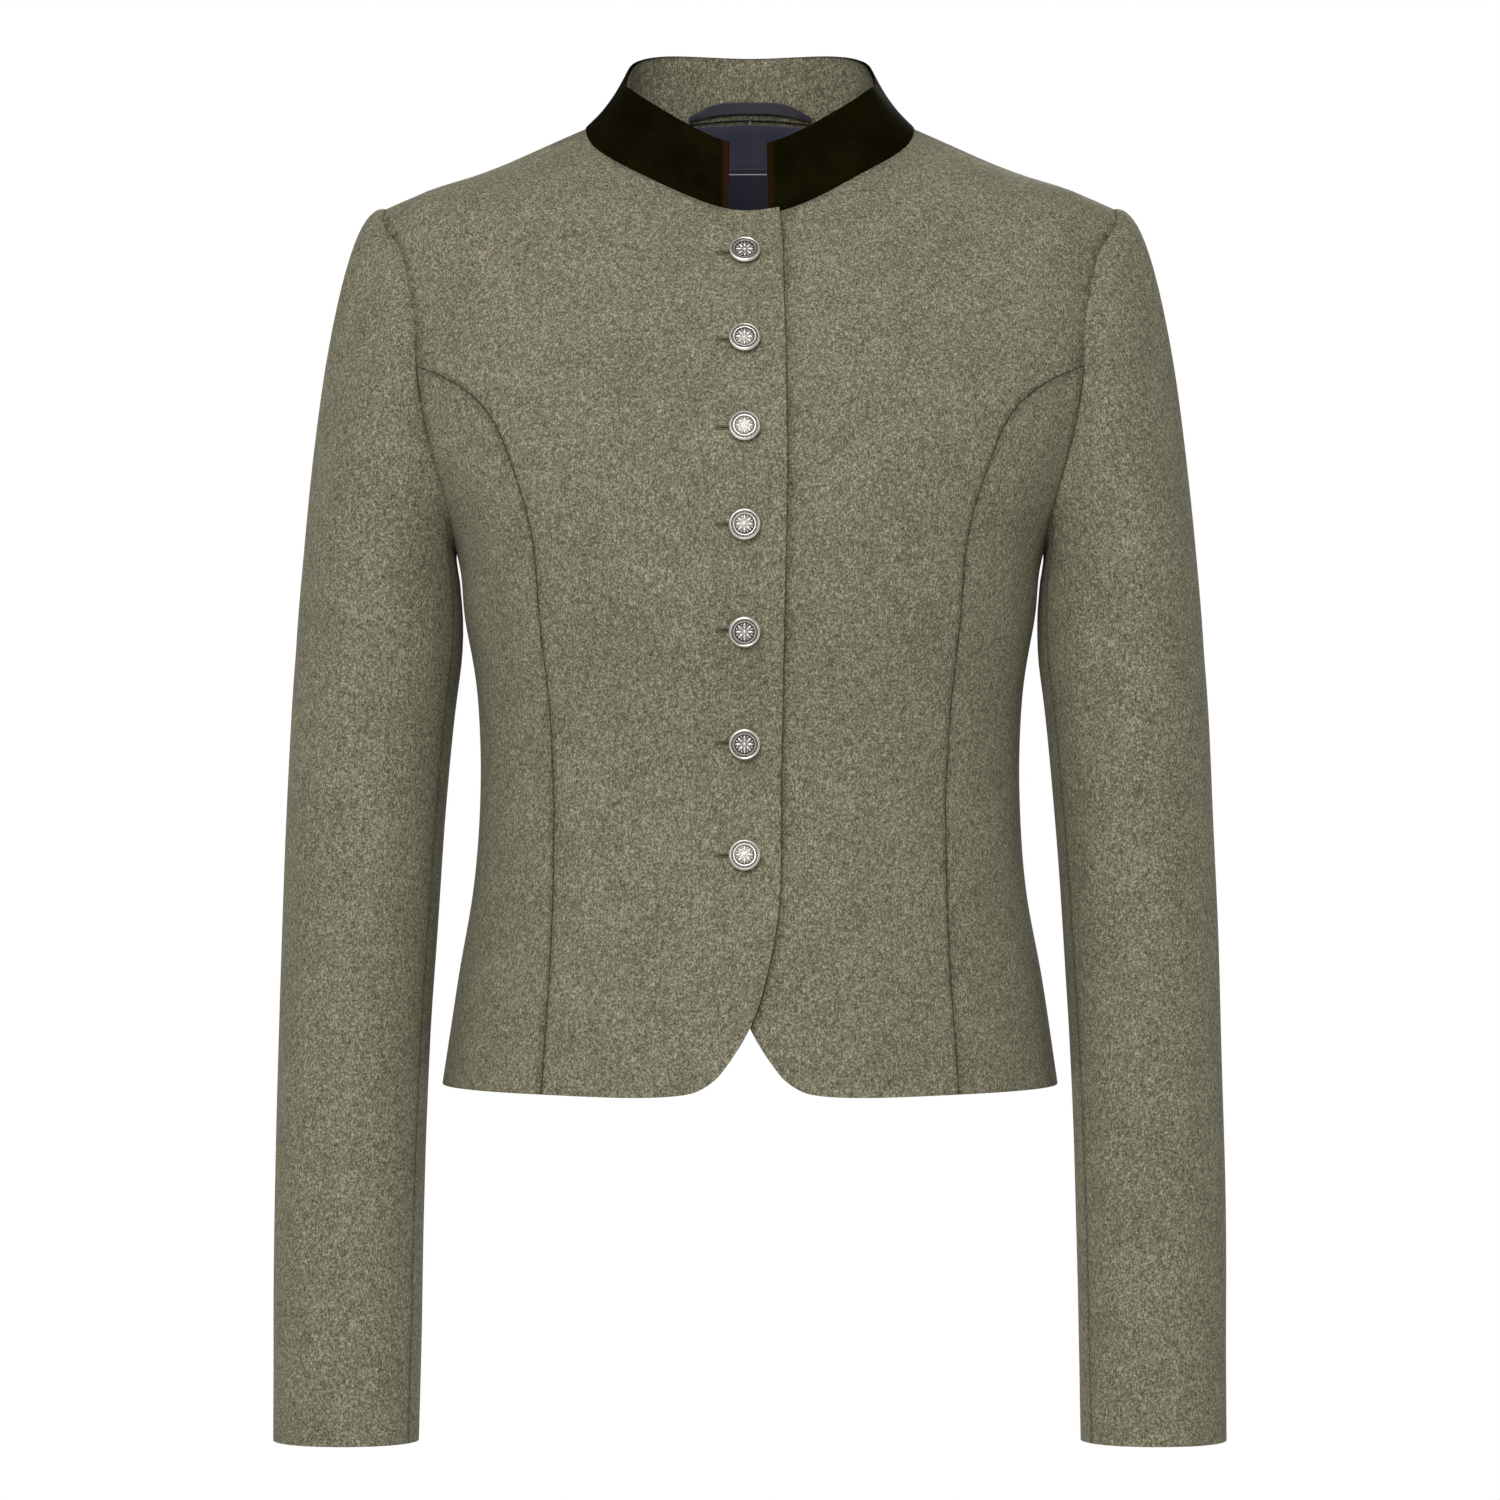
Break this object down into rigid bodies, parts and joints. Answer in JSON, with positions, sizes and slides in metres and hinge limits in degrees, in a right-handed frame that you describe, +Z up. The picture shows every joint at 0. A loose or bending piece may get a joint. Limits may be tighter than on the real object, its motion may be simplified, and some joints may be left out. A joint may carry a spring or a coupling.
{
  "type": "velvet collar blazer",
  "caption": "Short fitted grey-olive wool blazer with a dark velvet stand collar and silver-coloured buttons, in worn form and hollow.",
  "frame": {"origin": "centre line of the garment, level with the points where the shoulder seams meet the neck seam", "axes": "+Z up as worn, -Y the way the front faces, +X the wearer's left"},
  "size_m": [0.4858, 0.2312, 0.7128],
  "materials": {
    "wool": "felted melange wool",
    "velvet": "short pile velvet",
    "navy_lining": "satin twill",
    "silver_metal": "antique silver colour"
  },
  "bodies": {
    "root": {"right_front": "wool", "left_front": "wool", "right_front_side": "wool", "left_front_side": "wool", "right_back_side": "wool", "left_back_side": "wool", "right_back": "wool", "left_back": "wool", "right_sleeve_top": "wool", "right_sleeve_under": "wool", "left_sleeve_top": "wool", "left_sleeve_under": "wool", "collar_velvet": "velvet", "collar_inner": "wool", "right_neck_lining": "navy_lining", "left_neck_lining": "navy_lining", "neck_label": "navy_lining", "hanging_loop": "navy_lining", "button_1": "silver_metal", "button_2": "silver_metal", "button_3": "silver_metal", "button_4": "silver_metal", "button_5": "silver_metal", "button_6": "silver_metal", "button_7": "silver_metal"}
  },
  "joints": []
}
